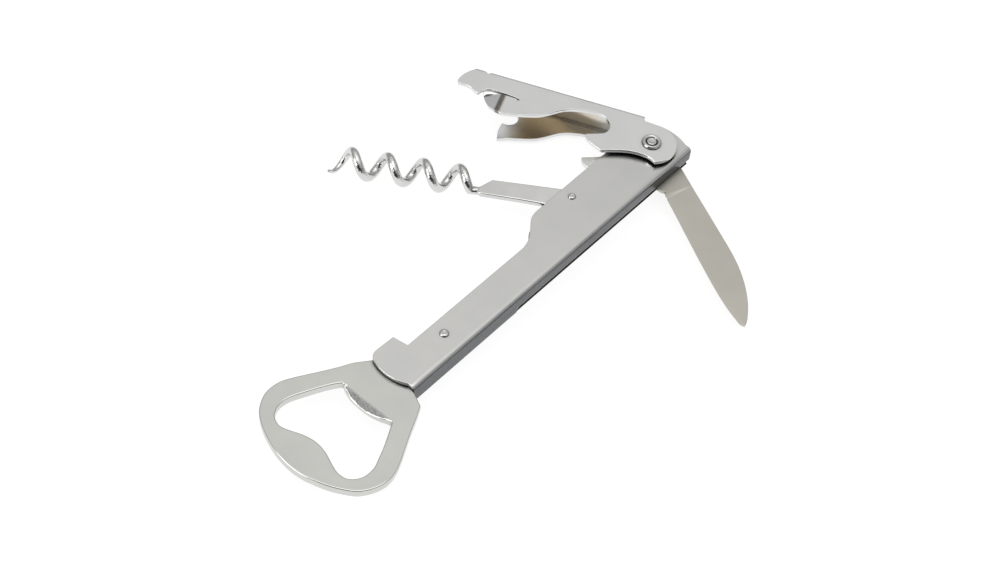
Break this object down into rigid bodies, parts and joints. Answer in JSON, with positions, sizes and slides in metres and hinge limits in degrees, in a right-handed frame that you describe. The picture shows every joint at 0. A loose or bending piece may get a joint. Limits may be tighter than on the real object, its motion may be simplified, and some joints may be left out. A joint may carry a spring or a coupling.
{
  "type": "waiters corkscrew",
  "caption": "Folding waiters corkscrew of plated sheet steel: crown-cap opener on one end, bottle lever, worm and foil knife hinged in a folded handle.",
  "frame": {"origin": "middle of the bounding box's underside, tools half open", "axes": "+X along the handle from the opener to the lever's hinge, +Z through the cheeks along every hinge, +Y to the side the worm folds against"},
  "size_m": [0.1336, 0.1012, 0.0109],
  "materials": {
    "handle_nickel_plate": "bright nickel plate over folded sheet steel",
    "opener_nickel_plate": "bright nickel plate over stamped plate",
    "lever_nickel_plate": "bright nickel plate over folded sheet steel",
    "worm_nickel_plate": "bright nickel plate over drawn wire",
    "blade_steel": "ground stainless steel",
    "rivet_steel": "peened steel",
    "spacer_steel": "plain turned steel"
  },
  "bodies": {
    "handle": {"handle_channel": "handle_nickel_plate", "opener_plate": "opener_nickel_plate", "opener_rivet": "rivet_steel", "opener_spacer": "spacer_steel", "worm_pin": "rivet_steel", "worm_spacer": "spacer_steel", "main_rivet": "rivet_steel", "rivet_collar_upper": "rivet_steel", "rivet_collar_lower": "rivet_steel", "bearing_washer_upper": "spacer_steel", "bearing_washer_lower": "spacer_steel", "knife_spacer": "spacer_steel"},
    "lever": {"lever": "lever_nickel_plate"},
    "worm": {"worm": "worm_nickel_plate"},
    "knife": {"knife_blade": "blade_steel"}
  },
  "joints": [
    {"name": "lever_hinge", "type": "hinge", "parent": "handle", "child": "lever", "pos_m": [0.05895, -0.00253, 0.00545], "axis": [0, 0, 1], "range_deg": [-45, 6]},
    {"name": "worm_hinge", "type": "hinge", "parent": "handle", "child": "worm", "pos_m": [0.03275, 0.00093, 0.00545], "axis": [0, 0, 1], "range_deg": [-33, 55.5]},
    {"name": "knife_hinge", "type": "hinge", "parent": "handle", "child": "knife", "pos_m": [0.05895, -0.00253, 0.00545], "axis": [0, 0, 1], "range_deg": [-62, 64]}
  ]
}
